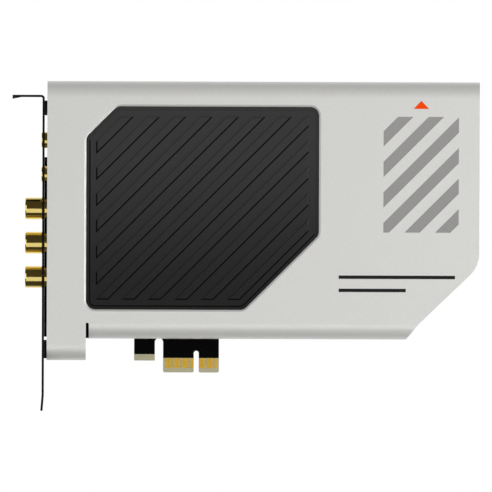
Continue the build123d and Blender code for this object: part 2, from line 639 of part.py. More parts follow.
def jack_spring_spans(z):
    """Places of a jack's contact springs, each as its low and high ends along X, Y and Z."""
    first = from_bracket(JACK_SEAT) + JACK_SPRING_PITCH / 2
    top = SOCKET_Y - JACK_BORE_RADIUS
    half = JACK_SPRING_WIDTH / 2
    return [((first + JACK_SPRING_PITCH * index, first + JACK_SPRING_PITCH * index + JACK_SPRING_WIDTH),
             (top - JACK_SPRING_HEIGHT, top), (z - half, z + half)) for index in range(JACK_SPRING_COUNT)]


def jack_body(z):
    """Moulded body of a jack, with its bore and the pockets of its springs."""
    start, end = from_bracket(JACK_SEAT), from_bracket(JACK_BORE_LENGTH - JACK_REACH)
    half = JACK_BODY_WIDTH / 2
    body = block((start, end + JACK_BODY_WALL), (FRONT - JACK_BODY_HEIGHT, FRONT), (z - half, z + half))
    body = chamfer(front_edges(body), PACKAGE_EDGE)
    body -= rod_x(start, end, SOCKET_Y, z, JACK_BORE_RADIUS)
    for x, y, across in jack_spring_spans(z):
        body -= block((x[0] - JACK_SLOT_GAP, x[1] + JACK_SLOT_GAP), (y[0], SOCKET_Y),
                      (across[0] - JACK_SLOT_GAP, across[1] + JACK_SLOT_GAP))
    return body


def jack_springs(z):
    """Contact springs in the pockets of a jack's body."""
    return [block(*spans) for spans in jack_spring_spans(z)]


def package(x, z, size):
    """Moulded chip package with a small chamfer round its top."""
    return chamfer(front_edges(on_board(x, z, size)), PACKAGE_EDGE)


def packages(places, size):
    """Equal chip packages at the given places."""
    return [package(x, z, size) for x, z in places]


def grid(x, z, columns, rows, pitch):
    """Places of equal parts in columns and rows, from the first one."""
    return [(x + pitch * column, z + pitch * row) for column in range(columns) for row in range(rows)]


def on_middle(distance):
    """Z at a distance from the middle of the shroud's height."""
    return SHROUD_MIDDLE + distance


def relay_x():
    """Middle of the relays along X, clear of the standoff above them."""
    return standoff_places()[0][0] + STANDOFF_RADIUS + RELAY_CLEAR + RELAY[0] / 2


def op_amp_x():
    """Middle of the operational amplifiers along X, with room for their leads beside the relays."""
    return relay_x() + RELAY[0] / 2 + OP_AMP_CLEAR + LEAD_REACH + OP_AMP[0] / 2


def op_amp_places():
    """Centres of the operational amplifiers, level with the sockets."""
    return [(op_amp_x(), socket_z(index)) for index in range(OP_AMP_COUNT)]


def op_amp_leads():
    """Leads along both sides of each operational amplifier."""
    width, _, thickness = OP_AMP
    leads = []
    for x, z in op_amp_places():
        for side in (-1, 1):
            for index in range(LEAD_COUNT):
                at = z + LEAD_PITCH * (index - (LEAD_COUNT - 1) / 2)
                leads.append(lead(x + side * width / 2, at, side, thickness / 2))
    return leads


def lead(x, z, side, rise):
    """Gull-wing lead that comes down from a package's side to the board."""
    def span(near, far):
        return tuple(sorted((x + side * near, x + side * far)))

    across = (z - LEAD_WIDTH / 2, z + LEAD_WIDTH / 2)
    knee = LEAD_REACH / 2
    top = FRONT - rise
    shape = block(span(0, knee), (top - LEAD_THICKNESS, top), across)
    shape += block(span(knee - LEAD_THICKNESS, knee), (top - LEAD_THICKNESS, FRONT), across)
    return shape + block(span(knee - LEAD_THICKNESS, LEAD_REACH), (FRONT - LEAD_THICKNESS, FRONT), across)


def can(x, z):
    """Electrolytic capacitor: a can with a rolled crease near its foot and a rounded top."""
    body = rod_y(x, z, FRONT - CAN_HEIGHT, FRONT, CAN_RADIUS)
    body = fillet(front_edges(body), CAN_CREASE)
    crease = Torus(CAN_RADIUS + CAN_CREASE / 2, CAN_CREASE)
    return body - Pos(x, FRONT - CAN_CREASE_Z, z) * Rot(90, 0, 0) * crease


def cans():
    """Electrolytic capacitors in rows above the processor."""
    places = grid(from_bracket(CAN_X), on_middle(CAN_Z), CAN_COLUMNS, CAN_ROWS, CAN_PITCH)
    return [can(x, z) for x, z in places]


def regulators():
    """Power regulators with their soldered tabs."""
    bodies = []
    column_x = WINDOW_RIGHT + REGULATOR_BESIDE
    for x, z in grid(column_x, on_middle(REGULATOR_Z), 1, REGULATOR_COUNT, POWER_PITCH):
        tab_z = z + (REGULATOR[1] + REGULATOR_TAB[1]) / 2
        bodies.append(package(x, z, REGULATOR) + on_board(x, tab_z, REGULATOR_TAB))
    return bodies


def chip_capacitors():
    """Small ceramic capacitors on both sides of the processor and in a column beside the regulators."""
    reach = (PROCESSOR[0] + CHIP_CAP[0]) / 2 + CHIP_CAP_CLEAR
    low = on_middle(PROCESSOR_Z) - CHIP_CAP_PITCH * (CHIP_CAP_ROWS - 1) / 2
    places = []
    for side in (-1, 1):
        places += grid(from_bracket(PROCESSOR_X) + side * reach, low, 1, CHIP_CAP_ROWS, CHIP_CAP_PITCH)
    column_x = WINDOW_RIGHT + BUFFER_CAP_BESIDE
    places += grid(column_x, on_middle(REGULATOR_Z), 1, BUFFER_CAP_COUNT, BUFFER_CAP_PITCH)
    return [on_board(x, z, CHIP_CAP) for x, z in places]


def chip_resistors():
    """Small resistors in columns between the amplifiers and the converters."""
    first_x = op_amp_x() + OP_AMP[0] / 2 + LEAD_REACH + RESISTOR_CLEAR + CHIP_RESISTOR[0] / 2
    places = grid(first_x, on_middle(RESISTOR_Z), RESISTOR_COLUMNS, RESISTOR_ROWS, RESISTOR_PITCH)
    return [on_board(x, z, CHIP_RESISTOR) for x, z in places]


def header_body():
    """Box header that opens towards the card's free end."""
    half = HEADER_PINS * HEADER_PITCH / 2 + HEADER_MARGIN
    inside = half - HEADER_WALL
    middle = HEADER_MIDDLE
    end, top = HEADER_START + HEADER_BODY_LENGTH, FRONT - HEADER_DEPTH
    body = block((HEADER_START, end), (top, FRONT), (middle - half, middle + half))
    body -= block((HEADER_START + HEADER_MARGIN, end), (top + HEADER_WALL, FRONT - HEADER_WALL),
                  (middle - inside, middle + inside))
    for y, z in header_pin_places():
        body -= header_pin(y, z)
    return body


def header_pin_places():
    """Axes of the header's pins in Y and Z; one place stays empty as a key."""
    rows = [FRONT - HEADER_DEPTH / 2 + side * HEADER_PITCH / 2 for side in (-1, 1)]
    columns = [HEADER_MIDDLE + HEADER_PITCH * (index - (HEADER_PINS - 1) / 2) for index in range(HEADER_PINS)]
    places = [(y, z) for y in rows for z in columns]
    return [place for index, place in enumerate(places) if index != HEADER_KEY_PIN]


def header_pin(y, z):
    """Square pin along X."""
    half = HEADER_PIN / 2
    return block((HEADER_START, HEADER_START + HEADER_PIN_REACH), (y - half, y + half), (z - half, z + half))


def header_pins():
    """Pins of the front panel header."""
    return [header_pin(y, z) for y, z in header_pin_places()]


def save(name, shape):
    """Write one piece, or a group of equal pieces, to its own file."""
    export_step(Compound(shape) if isinstance(shape, list) else shape, os.path.join("parts", name + ".step"))


def main():
    """Build every piece and write it."""
    os.makedirs("parts", exist_ok=True)
    save("circuit_board", board())
    save("edge_contacts", edge_contacts())
    save("slot_bracket", bracket())
    save("bracket_screws", [pan_screw(x, z) for x, z in tab_places()])
    save("shroud", shroud())
    save("shroud_standoffs", standoffs())
    save("shroud_screws", [pan_screw(x, z) for x, z in standoff_places()])
    save("inset_panel", inset_panel())
    save("panel_tape", panel_tape())
    for index, name in enumerate(COAX_NAMES):
        z = socket_z(index)
        save(f"coax_{name}_shell", coax_shell(z))
        save(f"coax_{name}_insulator", coax_insulator(z))
        save(f"coax_{name}_contact", coax_contact(z))
        save(f"coax_{name}_body", coax_body(z))
    for index, name in enumerate(JACK_NAMES):
        z = socket_z(COAX_COUNT + index)
        save(f"{name}_jack_bushing", jack_bushing(z))
        save(f"{name}_jack_body", jack_body(z))
        save(f"{name}_jack_springs", jack_springs(z))
    save("audio_processor", package(from_bracket(PROCESSOR_X), on_middle(PROCESSOR_Z), PROCESSOR))
    save("playback_converter", package(from_bracket(CONVERTER_X), on_middle(PROCESSOR_Z), CONVERTER))
    save("recording_converter", package(from_bracket(CONVERTER_X), on_middle(RECORDER_Z), RECORDER))
    save("headphone_amplifier", package(from_bracket(AMPLIFIER_X), on_middle(AMPLIFIER_Z), AMPLIFIER))
    save("program_memory", package(from_bracket(MEMORY_X), on_middle(MEMORY_Z), MEMORY))
    clock_x = from_bracket(OSCILLATOR_X)
    clocks = grid(clock_x, on_middle(RECORDER_Z), OSCILLATOR_COUNT, 1, OSCILLATOR_PITCH)
    save("clock_oscillators", packages(clocks, OSCILLATOR))
    save("operational_amplifiers", packages(op_amp_places(), OP_AMP))
    save("amplifier_leads", op_amp_leads())
    relays = [(relay_x(), socket_z(index)) for index in range(COAX_COUNT, SOCKET_COUNT)]
    save("mute_relays", packages(relays, RELAY))
    film = grid(from_bracket(FILM_CAP_X), on_middle(FILM_CAP_Z), 1, FILM_CAP_COUNT, FILM_CAP_PITCH)
    save("film_capacitors", packages(film, FILM_CAP))
    save("electrolytic_capacitors", cans())
    save("power_regulators", regulators())
    inductors = grid(WINDOW_RIGHT + INDUCTOR_BESIDE, on_middle(INDUCTOR_Z), 1, INDUCTOR_COUNT, POWER_PITCH)
    save("power_inductors", packages(inductors, INDUCTOR))
    save("chip_capacitors", chip_capacitors())
    save("chip_resistors", chip_resistors())
    save("front_panel_header", header_body())
    save("front_panel_header_pins", header_pins())


if __name__ == "__main__":
    main()
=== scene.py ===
"""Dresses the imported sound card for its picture: smooth pieces, prints, solder, tracks, finishes and studio.

Lengths in the classes are millimetres. Blender works in metres, and MM turns one into the other.
"""

import json
import logging
import math
from dataclasses import dataclass
from enum import Enum
from typing import Any, Iterable, Sequence

import bmesh
import bpy
from mathutils import Matrix, Vector


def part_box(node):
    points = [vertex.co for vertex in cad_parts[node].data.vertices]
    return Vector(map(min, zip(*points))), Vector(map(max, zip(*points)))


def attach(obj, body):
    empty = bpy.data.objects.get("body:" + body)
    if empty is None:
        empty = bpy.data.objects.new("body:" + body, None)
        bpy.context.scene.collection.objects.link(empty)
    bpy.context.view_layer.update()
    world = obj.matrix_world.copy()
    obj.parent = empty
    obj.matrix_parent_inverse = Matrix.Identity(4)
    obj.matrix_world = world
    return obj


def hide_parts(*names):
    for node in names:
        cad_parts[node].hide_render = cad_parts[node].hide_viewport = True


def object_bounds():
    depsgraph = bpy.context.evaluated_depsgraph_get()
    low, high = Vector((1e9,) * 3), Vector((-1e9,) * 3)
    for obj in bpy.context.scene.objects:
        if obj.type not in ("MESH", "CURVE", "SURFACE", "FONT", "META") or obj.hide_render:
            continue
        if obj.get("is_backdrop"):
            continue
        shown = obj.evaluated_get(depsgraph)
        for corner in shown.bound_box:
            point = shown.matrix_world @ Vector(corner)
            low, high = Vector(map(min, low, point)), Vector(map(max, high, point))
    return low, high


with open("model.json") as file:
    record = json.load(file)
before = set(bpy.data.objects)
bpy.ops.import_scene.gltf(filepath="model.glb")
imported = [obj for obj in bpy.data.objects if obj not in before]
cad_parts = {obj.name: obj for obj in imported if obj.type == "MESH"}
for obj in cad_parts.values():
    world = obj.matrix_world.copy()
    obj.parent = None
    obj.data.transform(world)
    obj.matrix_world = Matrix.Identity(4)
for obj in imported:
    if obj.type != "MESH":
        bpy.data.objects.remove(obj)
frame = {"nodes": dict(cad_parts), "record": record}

MM = 0.001
JOIN_DISTANCE = 0.001 * MM
FLAT_ANGLE = 0.01
NOISE_LOW, NOISE_HIGH = 0.32, 0.68
BODY = "root"
LOG = logging.getLogger("sound_card")
Point = tuple[float, float]
Triple = tuple[float, float, float]


def linear(code: str) -> tuple[float, float, float, float]:
    """Turn an sRGB hex colour into linear light.

    Args:
        code: Colour as "#rrggbb".

    Returns:
        Red, green, blue and an alpha of 1, all linear.
    """
    parts = [int(code[i:i + 2], 16) / 255 for i in (1, 3, 5)]
    red, green, blue = [v / 12.92 if v <= 0.04045 else ((v + 0.055) / 1.055) ** 2.4 for v in parts]
    return red, green, blue, 1.0


def add_node(tree: bpy.types.NodeTree, kind: str, inputs: dict[Any, Any] | None = None,
             **settings: Any) -> bpy.types.Node:
    """Add a node to a tree, with its settings, values and links.

    A Mix node of colours takes its share at input 0 and the colours at 6 and 7. Its result is output 2.

    Args:
        tree: Shader or geometry tree.
        kind: Node's Blender type.
        inputs: Values or output sockets by the input's name or number.
        settings: Properties of the node.

    Returns:
        The new node.
    """
    node = tree.nodes.new(kind)
    for name, value in settings.items():
        setattr(node, name, value)
    for name, value in (inputs or {}).items():
        if isinstance(value, bpy.types.NodeSocket):
            tree.links.new(value, node.inputs[name])
        else:
            node.inputs[name].default_value = value
    return node


class Slot(Enum):
    """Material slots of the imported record."""

    BOARD = "board"
    CONTACT_GOLD = "contact_gold"
    BRACKET_BLACK = "bracket_black"
    SCREW_STEEL = "screw_steel"
    SHROUD_SILVER = "shroud_silver"
    STANDOFF = "standoff"
    PANEL_BLACK = "panel_black"
    TAPE = "tape"
    SOCKET_GOLD = "socket_gold"
    SOCKET_INSULATOR = "socket_insulator"
    SOCKET_BODY = "socket_body"
    SPRING = "spring"
    CHIP = "chip"
    OSCILLATOR_CAN = "oscillator_can"
    LEAD = "lead"
    RELAY = "relay"
    FILM_CASE = "film_case"
    CAN = "can"
    INDUCTOR = "inductor"
    CERAMIC = "ceramic"
    RESISTOR = "resistor"
    HEADER = "header"
    HEADER_PIN = "header_pin"


@dataclass(frozen=True)
class Finish:
    """A surface with a fine grain in its colour, gloss and relief.

    The grain is in millimetres, and so is the relief, the height of its bumps.
    """

    name: str
    colour: str
    mottle: str
    roughness: float
    grain: float
    relief: float
    metallic: float = 0.0
    gloss_spread: float = 0.06
    stretch: Triple = (1.0, 1.0, 1.0)
    specular: float = 0.5

    def material(self) -> bpy.types.Material:
        """Return the finish's material, which is made on its first use."""
        made = bpy.data.materials.get(self.name)
        if made is None:
            made = bpy.data.materials.new(self.name)
            made.use_nodes = True
            made.diffuse_color = linear(self.colour)
            tree = made.node_tree
            shader = tree.nodes["Principled BSDF"]
            shader.inputs["Metallic"].default_value = self.metallic
            shader.inputs["Specular IOR Level"].default_value = self.specular
            place = add_node(tree, "ShaderNodeTexCoord").outputs["Object"]
            self.paint(tree, shader, place)
        return made

    def grain_field(self, tree: bpy.types.NodeTree, place: bpy.types.NodeSocket) -> bpy.types.NodeSocket:
        """Add the grain's noise.

        Args:
            tree: Material's tree.
            place: Object coordinates.

        Returns:
            Noise spread over 0 to 1.
        """
        moved = add_node(tree, "ShaderNodeMapping", {"Vector": place, "Scale": self.stretch})
        noise = add_node(tree, "ShaderNodeTexNoise", {
            "Vector": moved.outputs[0], "Scale": 1 / (self.grain * MM), "Detail": 3.0, "Roughness": 0.6})
        spread = add_node(tree, "ShaderNodeMapRange", {
            "Value": noise.outputs[0], "From Min": NOISE_LOW, "From Max": NOISE_HIGH})
        return spread.outputs[0]

    def paint(self, tree: bpy.types.NodeTree, shader: bpy.types.Node, place: bpy.types.NodeSocket) -> None:
        """Give the shader its grained colour, gloss and relief.

        Args:
            tree: Material's tree.
            shader: Its Principled shader.
            place: Object coordinates.
        """
        field = self.grain_field(tree, place)
        colour = add_node(tree, "ShaderNodeMix", {
            0: field, 6: linear(self.colour), 7: linear(self.mottle)}, data_type="RGBA")
        self.finish_off(tree, shader, field, colour.outputs[2])

    def finish_off(self, tree: bpy.types.NodeTree, shader: bpy.types.Node, field: bpy.types.NodeSocket,
                   colour: bpy.types.NodeSocket) -> None:
        """Link the colour, and the gloss and relief that follow the grain.

        Args:
            tree: Material's tree.
            shader: Its Principled shader.
            field: Grain from 0 to 1.
            colour: Colour to show.
        """
        tree.links.new(colour, shader.inputs["Base Color"])
        gloss = add_node(tree, "ShaderNodeMapRange", {
            "Value": field, "To Min": self.roughness - self.gloss_spread,
            "To Max": self.roughness + self.gloss_spread})
        tree.links.new(gloss.outputs[0], shader.inputs["Roughness"])
        bump = add_node(tree, "ShaderNodeBump", {"Height": field, "Distance": self.relief * MM})
        tree.links.new(bump.outputs[0], shader.inputs["Normal"])


@dataclass(frozen=True)
class ShadedMoulding(Finish):
    """Moulded plastic with painted shade: its colour darkens from the top down to the bottom, as the light
    would fall.

    Sloped sides that are turned down or towards the bracket are dull and carry painted shade, nearly black,
    which draws the dark lines along the ribs.
    """

    # painted shade: colour at the bottom of the panel, fading to the top colour between the heights low and
    # high (mm)
    painted_shade_foot: str = "#000000"
    low: float = 0.0
    high: float = 1.0
    grain_share: float = 0.35
    # painted shade: near-black colour for sloped sides turned down or towards the bracket
    painted_shade_side: str = "#010101"
    side_roughness: float = 0.8
    painted_shade_way: Triple = (-0.3, 0.0, -1.0)
    side_start: float = 0.08
    side_full: float = 0.16

    def paint(self, tree: bpy.types.NodeTree, shader: bpy.types.Node, place: bpy.types.NodeSocket) -> None:
        """Blend the painted shade by height, lay the grain over it and paint near-black shade on the turned
        sides.

        Args:
            tree: Material's tree.
            shader: Its Principled shader.
            place: Object coordinates.
        """
        field = self.grain_field(tree, place)
        # painted shade: darker towards the bottom, paler towards the top
        height = add_node(tree, "ShaderNodeSeparateXYZ", {0: place}).outputs["Z"]
        share = add_node(tree, "ShaderNodeMapRange", {
            "Value": height, "From Min": self.low * MM, "From Max": self.high * MM},
            interpolation_type="SMOOTHSTEP")
        shade = add_node(tree, "ShaderNodeMix", {
            0: share.outputs[0], 6: linear(self.painted_shade_foot), 7: linear(self.colour)}, data_type="RGBA")
        speck = add_node(tree, "ShaderNodeMath", {0: field, 1: self.grain_share}, operation="MULTIPLY")
        grained = add_node(tree, "ShaderNodeMix", {
            0: speck.outputs[0], 6: shade.outputs[2], 7: linear(self.mottle)}, data_type="RGBA")
        # painted shade: sloped sides turned down or towards the bracket are coloured near black
        turned = add_node(tree, "ShaderNodeVectorMath", {
            0: add_node(tree, "ShaderNodeNewGeometry").outputs["True Normal"], 1: self.painted_shade_way},
            operation="DOT_PRODUCT")
        sides = add_node(tree, "ShaderNodeMapRange", {
            "Value": turned.outputs["Value"], "From Min": self.side_start,
            "From Max": self.side_full}).outputs[0]
        colour = add_node(tree, "ShaderNodeMix", {
            0: sides, 6: grained.outputs[2], 7: linear(self.painted_shade_side)}, data_type="RGBA")
        self.finish_off(tree, shader, field, colour.outputs[2])
        gloss = shader.inputs["Roughness"].links[0].from_socket
        dull = add_node(tree, "ShaderNodeMapRange", {
            "Value": sides, "To Min": gloss, "To Max": self.side_roughness})
        tree.links.new(dull.outputs[0], shader.inputs["Roughness"])


@dataclass(frozen=True)
class SolderMask(Finish):
    """Black solder mask, with the bare glass-fibre laminate on cut edges and bevels."""

    laminate: str = "#aba68b"
    flat: float = 0.99
    mask_edge: float = 5.5

    def paint(self, tree: bpy.types.NodeTree, shader: bpy.types.Node, place: bpy.types.NodeSocket) -> None:
        """Show the laminate below the mask's edge and wherever a face doesn't lie flat along the board.

        Args:
            tree: Material's tree.
            shader: Its Principled shader.
            place: Object coordinates.
        """
        field = self.grain_field(tree, place)
        mask = add_node(tree, "ShaderNodeMix", {
            0: field, 6: linear(self.colour), 7: linear(self.mottle)}, data_type="RGBA")
        normal = add_node(tree, "ShaderNodeSeparateXYZ", {
            0: add_node(tree, "ShaderNodeNewGeometry").outputs["True Normal"]})
        across = add_node(tree, "ShaderNodeMath", {0: normal.outputs["Y"]}, operation="ABSOLUTE")
        cut = add_node(tree, "ShaderNodeMath", {0: across.outputs[0], 1: self.flat}, operation="LESS_THAN")
        height = add_node(tree, "ShaderNodeSeparateXYZ", {0: place}).outputs["Z"]
        tongue = add_node(tree, "ShaderNodeMath", {0: height, 1: self.mask_edge * MM}, operation="LESS_THAN")
        bare = add_node(tree, "ShaderNodeMath", {
            0: cut.outputs[0], 1: tongue.outputs[0]}, operation="MAXIMUM")
        shown = add_node(tree, "ShaderNodeMix", {
            0: bare.outputs[0], 6: mask.outputs[2], 7: linear(self.laminate)}, data_type="RGBA")
        self.finish_off(tree, shader, field, shown.outputs[2])


# Silver powder coat with aluminium flake on sheet steel: a pale, even satin sheen that falls off round the
# folds, with a fine sparkle. The real flakes are about 0.05 mm, drawn coarser so that they show.
SILVER_POWDER_COAT = Finish("silver_powder_coat", "#e3e3e1", "#dbdbd9", 0.42, 0.45, 0.005, 0.45)
# Screen-printed grey ink over the powder coat: flat colour with the coat's grain showing through.
GREY_INK = Finish("grey_screen_print_ink", "#908f8e", "#888786", 0.6, 0.45, 0.006, specular=0.25)
# Screen-printed orange ink: one strong flat colour.
ORANGE_INK = Finish("orange_screen_print_ink", "#e54702", "#df4200", 0.7, 0.45, 0.004, specular=0.05)
# Screen-printed black ink.
BLACK_INK = Finish("black_screen_print_ink", "#0c0c0c", "#121212", 0.6, 0.45, 0.004, specular=0.25)
# Matte black baked coat on the bracket's sheet steel: very dark with a soft broad sheen.
BLACK_COATED_STEEL = Finish("black_coated_steel", "#060504", "#0b0a09", 0.4, 0.3, 0.004, specular=0.15)
# Polished gold plating on turned brass: mirror-like, with fine turning marks that run round the barrel.
POLISHED_GOLD = Finish("polished_gold_plating", "#f9e38e", "#f4dc84", 0.12, 0.12, 0.0005, 1.0, 0.03,
                       (1.0, 0.05, 0.05))
# Satin hard gold on the edge connector.
HARD_GOLD = Finish("hard_gold_contacts", "#e6bb30", "#dbaf28", 0.5, 0.25, 0.001, 0.8)
# Bright zinc on screws: cold, slightly uneven metal.
BRIGHT_ZINC = Finish("bright_zinc_plating", "#c9cbcd", "#bcbfc2", 0.28, 0.4, 0.002, 1.0)
# Turned, nickel-plated brass: warm grey with marks round the axis.
TURNED_NICKEL = Finish("turned_nickel_plating", "#cbc8c0", "#bdbab2", 0.25, 0.15, 0.001, 1.0, 0.05,
                       (0.05, 1.0, 0.05))
# Moulded black ABS with a fine spark-eroded texture: dark grey, a broad soft sheen, tiny pits. Painted shade
# makes it darker towards the bottom and near black on sloped sides turned down or towards the bracket.
PAINTED_SHADE_BLACK_ABS = ShadedMoulding("textured_black_abs_painted_shade", "#323232", "#3c3c3c", 0.4, 0.28, 0.008, specular=0.1,
                           painted_shade_foot="#151515", low=20.0, high=95.0)
# Adhesive foam tape: dull and open-pored.
FOAM_TAPE = Finish("acrylic_foam_tape", "#343434", "#454545", 0.85, 0.5, 0.03)
# Moulded black PBT in the sockets: smooth with a slight gloss.
BLACK_PBT = Finish("moulded_black_pbt", "#1b1b1d", "#222224", 0.35, 0.5, 0.003)
# Glass-filled nylon of the socket bodies: black with a dull swirl.
BLACK_NYLON = Finish("glass_filled_black_nylon", "#1e1e1f", "#29292a", 0.55, 0.6, 0.008)
# Tinned phosphor bronze: pale warm metal.
TINNED_BRONZE = Finish("tinned_phosphor_bronze", "#cfc3a2", "#c2b592", 0.3, 0.3, 0.001, 1.0)
# Moulded epoxy of integrated circuits: charcoal with a fine matte grain.
MOULDED_EPOXY = Finish("moulded_epoxy", "#242426", "#2e2e30", 0.6, 0.3, 0.006)
# Plated steel lid of an oscillator.
PLATED_LID = Finish("plated_steel_lid", "#cfd0d0", "#c2c3c4", 0.25, 0.6, 0.001, 1.0)
# Tin on leads and solder joints: bright, a little uneven.
TIN = Finish("bright_tin", "#c8c9ca", "#b9babc", 0.26, 0.5, 0.004, 1.0)
# Pale moulded polyester of relay cases.
PALE_POLYESTER = Finish("pale_moulded_polyester", "#dddcd5", "#d3d2ca", 0.4, 0.8, 0.004)
# Red moulded case of film capacitors.
RED_POLYESTER = Finish("red_moulded_polyester", "#b2332b", "#a32c25", 0.35, 0.8, 0.004)
# Deep-drawn aluminium can: satin with marks round its axis.
DRAWN_ALUMINIUM = Finish("drawn_aluminium_can", "#cfcfce", "#c2c2c2", 0.32, 0.25, 0.001, 1.0, 0.06,
                         (0.08, 1.0, 0.08))
# Pressed iron powder of inductors: dark grey, dull and grainy.
IRON_POWDER = Finish("pressed_iron_powder", "#454546", "#57585a", 0.65, 0.3, 0.012, 0.3)
# Fired ceramic of chip capacitors: tan, smooth.
FIRED_CERAMIC = Finish("fired_tan_ceramic", "#a58a66", "#96795a", 0.4, 0.3, 0.002)
# Black glaze on ceramic chip resistors.
BLACK_GLAZE = Finish("black_glazed_ceramic", "#27272a", "#303034", 0.25, 0.4, 0.002)
# Black solder mask over the board: near black, half gloss, with a faint orange peel.
SOLDER_MASK = SolderMask("black_solder_mask", "#020202", "#050505", 0.2, 0.7, 0.002, specular=0.05)
# Copper tracks under the mask: the same black, a shade paler where the mask is thin.
MASKED_COPPER = Finish("copper_under_black_mask", "#141416", "#1a1a1c", 0.24, 0.5, 0.002, specular=0.35)

FINISHES: dict[Slot, Finish] = {
    Slot.BOARD: SOLDER_MASK,
    Slot.CONTACT_GOLD: HARD_GOLD,
    Slot.BRACKET_BLACK: BLACK_COATED_STEEL,
    Slot.SCREW_STEEL: BRIGHT_ZINC,
    Slot.SHROUD_SILVER: SILVER_POWDER_COAT,
    Slot.STANDOFF: TURNED_NICKEL,
    Slot.PANEL_BLACK: PAINTED_SHADE_BLACK_ABS,
    Slot.TAPE: FOAM_TAPE,
    Slot.SOCKET_GOLD: POLISHED_GOLD,
    Slot.SOCKET_INSULATOR: BLACK_PBT,
    Slot.SOCKET_BODY: BLACK_NYLON,
    Slot.SPRING: TINNED_BRONZE,
    Slot.CHIP: MOULDED_EPOXY,
    Slot.OSCILLATOR_CAN: PLATED_LID,
    Slot.LEAD: TIN,
    Slot.RELAY: PALE_POLYESTER,
    Slot.FILM_CASE: RED_POLYESTER,
    Slot.CAN: DRAWN_ALUMINIUM,
    Slot.INDUCTOR: IRON_POWDER,
    Slot.CERAMIC: FIRED_CERAMIC,
    Slot.RESISTOR: BLACK_GLAZE,
    Slot.HEADER: BLACK_PBT,
    Slot.HEADER_PIN: HARD_GOLD,
}


def slot_of(node: str) -> Slot:
    """Return the record's material slot of a CAD node."""
    return Slot(next(p["material_slot"] for p in frame["record"]["subparts"] if p["node"] == node))


def merged(node: str) -> bmesh.types.BMesh:
    """Copy a CAD node's mesh with its loose triangles joined.

    Args:
        node: Name of the CAD node.

    Returns:
        The joined mesh, for the caller to free.
    """
    mesh = bmesh.new()
    mesh.from_mesh(frame["nodes"][node].data)
    bmesh.ops.remove_doubles(mesh, verts=mesh.verts, dist=JOIN_DISTANCE)
    return mesh


def solid_boxes(node: str) -> list[tuple[Vector, Vector]]:
    """Find the box of each separate solid in a CAD node.

    Args:
        node: Name of the CAD node.

    Returns:
        Lowest and highest corner of each solid, in metres.
    """
    mesh = merged(node)
    left = set(mesh.verts)
    boxes = []
    while left:
        found = {left.pop()}
        edge_of_search = list(found)
        while edge_of_search:
            vert = edge_of_search.pop()
            fresh = {e.other_vert(vert) for e in vert.link_edges} - found
            found |= fresh
            edge_of_search.extend(fresh)
        left -= found
        places = [v.co for v in found]
        low = Vector(min(p[i] for p in places) for i in range(3))
        high = Vector(max(p[i] for p in places) for i in range(3))
        boxes.append((low, high))
    mesh.free()
    return sorted(boxes, key=lambda b: tuple(b[0]))


def add_piece(name: str, mesh: bpy.types.Mesh, replaced: Iterable[str] = ()) -> bpy.types.Object:
    """Put a finished mesh into the scene as a piece of the card.

    Args:
        name: Piece's name.
        mesh: Its mesh, with its materials.
        replaced: CAD nodes that it stands for.

    Returns:
        The piece.
    """
    piece = bpy.data.objects.new(name, mesh)
    bpy.context.scene.collection.objects.link(piece)
    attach(piece, BODY)
    if replaced:
        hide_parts(*replaced)
    LOG.info("%s: %d faces", name, len(mesh.polygons))
    return piece


def applied(holder: bpy.types.Object) -> bpy.types.Mesh:
    """Turn an object with modifiers into a plain mesh and remove the object.

    Args:
        holder: Object with live modifiers.

    Returns:
        The evaluated mesh.
    """
    depsgraph = bpy.context.evaluated_depsgraph_get()
    mesh = bpy.data.meshes.new_from_object(holder.evaluated_get(depsgraph), preserve_all_data_layers=True,
                                           depsgraph=depsgraph)
    holder.modifiers.clear()
    bpy.data.objects.remove(holder)
    return mesh


@dataclass
class SmoothPiece:
    """A smooth copy of a CAD node with eased edges, as sheet metal, turned and moulded pieces have them.

    A piece with many small facets keeps its own faces, because joining its flats would spoil them.
    """

    node: str
    name: str
    ease: float = 0.12
    sharp_angle: float = 32.0
    segments: int = 2
    ease_angle: float = 32.0
    own_faces: bool = False

    def build(self) -> bpy.types.Object:
        """Make the copy, dress it and let it stand for its node.

        Returns:
            The finished piece.
        """
        shape = merged(self.node)
        if not self.own_faces:
            bmesh.ops.dissolve_limit(shape, angle_limit=FLAT_ANGLE, verts=shape.verts, edges=shape.edges)
        mesh = bpy.data.meshes.new(self.name)
        shape.to_mesh(mesh)
        shape.free()
        if "custom_normal" in mesh.attributes:
            mesh.attributes.remove(mesh.attributes["custom_normal"])
        mesh.set_sharp_from_angle(angle=math.radians(self.sharp_angle))
        slot = slot_of(self.node)
        mesh.materials.append(FINISHES[slot].material())
        holder = bpy.data.objects.new(self.name + "_holder", mesh)
        bpy.context.scene.collection.objects.link(holder)
        if self.ease:
            bevel = holder.modifiers.new("eased edges", "BEVEL")
            bevel.width = self.ease * MM
            bevel.segments = self.segments
            bevel.limit_method = "ANGLE"
            bevel.angle_limit = math.radians(self.ease_angle)
        flats = holder.modifiers.new("flats stay flat", "WEIGHTED_NORMAL")
        flats.keep_sharp = True
        return add_piece(self.name, applied(holder), [self.node])


